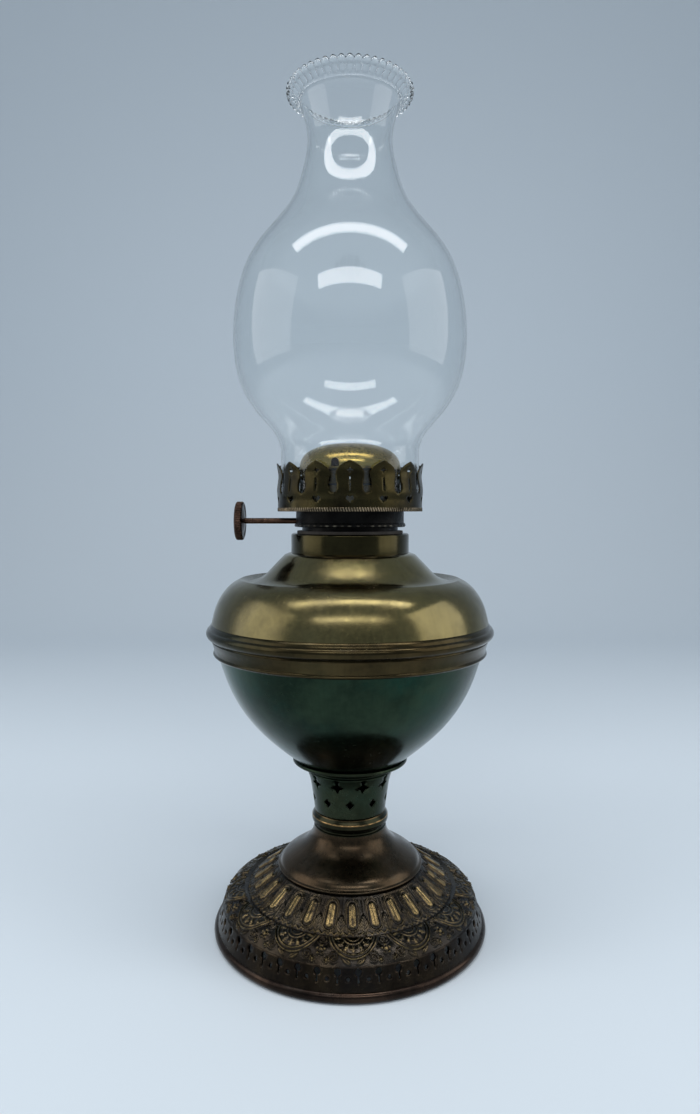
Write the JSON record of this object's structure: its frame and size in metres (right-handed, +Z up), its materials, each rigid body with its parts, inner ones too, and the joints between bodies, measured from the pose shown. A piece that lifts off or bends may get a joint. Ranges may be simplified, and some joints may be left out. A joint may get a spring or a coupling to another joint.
{
  "type": "kerosene table lamp",
  "caption": "Brass centre-draught oil lamp with a pierced foot and stem, round wick and rack raiser, pronged gallery and a bulbous glass chimney.",
  "frame": {"origin": "centre of the foot at table level, on the lamp's upright axis", "axes": "+Z up along the lamp's axis; the wick raiser's knob is on -X; -Y is the side the picture shows"},
  "size_m": [0.157, 0.157, 0.4611],
  "materials": {
    "foot_brass": "embossed, dark bronze patina with worn gold ridges",
    "bell_bronze": "satin coppery brown",
    "stem_brass": "satin, greenish patina",
    "bowl_brass": "satin, dark green-brown patina",
    "shoulder_brass": "satin, golden olive",
    "inner_brass": "dull, heat-stained",
    "gasket_leather": "matte, oil-darkened packing",
    "burner_black": "blackened brass",
    "knob_bronze": "reddish brown, worn",
    "wick_cotton": "woven cotton, charred lip",
    "gallery_brass": "dark olive brass",
    "dome_brass": "bright yellow brass, slightly stained",
    "chimney_glass": "clear blown glass with a beaded lip"
  },
  "bodies": {
    "lamp": {"foot_shell": "foot_brass", "foot_bell": "bell_bronze", "stem_bead_ring": "stem_brass", "pierced_stem": "stem_brass", "font_seat_ring": "stem_brass", "font_bowl": "bowl_brass", "font_shoulder": "shoulder_brass", "font_collar": "shoulder_brass", "draught_tube": "inner_brass"},
    "gasket": {"collar_gasket": "gasket_leather"},
    "burner": {"burner_neck": "burner_black", "burner_drum": "burner_black", "outer_wick_tube": "inner_brass", "spindle_gland": "inner_brass"},
    "raiser": {"raiser_spindle": "knob_bronze", "raiser_pinion": "inner_brass", "raiser_knob": "knob_bronze"},
    "wick": {"wick": "wick_cotton", "wick_carrier": "inner_brass", "wick_rack": "inner_brass"},
    "gallery": {"gallery_ring": "gallery_brass", "gallery_crown": "gallery_brass"},
    "spreader": {"spreader_thimble": "inner_brass", "spreader_dome": "dome_brass"},
    "chimney": {"chimney_foot": "chimney_glass", "chimney_bulb": "chimney_glass", "chimney_neck": "chimney_glass"}
  },
  "joints": [
    {"name": "gasket_lift", "type": "slide", "parent": "lamp", "child": "gasket", "axis": [0, 0, 1], "range_m": [0, 0.0075]},
    {"name": "burner_screw", "type": "hinge", "parent": "gasket", "child": "burner", "pos_m": [0, 0, 0.215], "axis": [0, 0, 1], "range_deg": [0, 1080]},
    {"name": "raiser_turn", "type": "hinge", "parent": "burner", "child": "raiser", "pos_m": [-0.0262, 0, 0.2218], "axis": [1, 0, 0], "range_deg": [-190, 80]},
    {"name": "wick_lift", "type": "slide", "parent": "burner", "child": "wick", "axis": [0, 0, 1], "range_m": [-0.012, 0.005]},
    {"name": "gallery_lift", "type": "slide", "parent": "burner", "child": "gallery", "axis": [0, 0, 1], "range_m": [0, 0.03]},
    {"name": "spreader_lift", "type": "slide", "parent": "burner", "child": "spreader", "axis": [0, 0, 1], "range_m": [0, 0.03]},
    {"name": "chimney_lift", "type": "slide", "parent": "gallery", "child": "chimney", "axis": [0, 0, 1], "range_m": [0, 0.05]}
  ],
  "couplings": [
    {"joint": "gasket_lift", "follows": "burner_screw", "m_per_rad": 0.00039789},
    {"joint": "wick_lift", "follows": "raiser_turn", "m_per_rad": 0.0035}
  ]
}
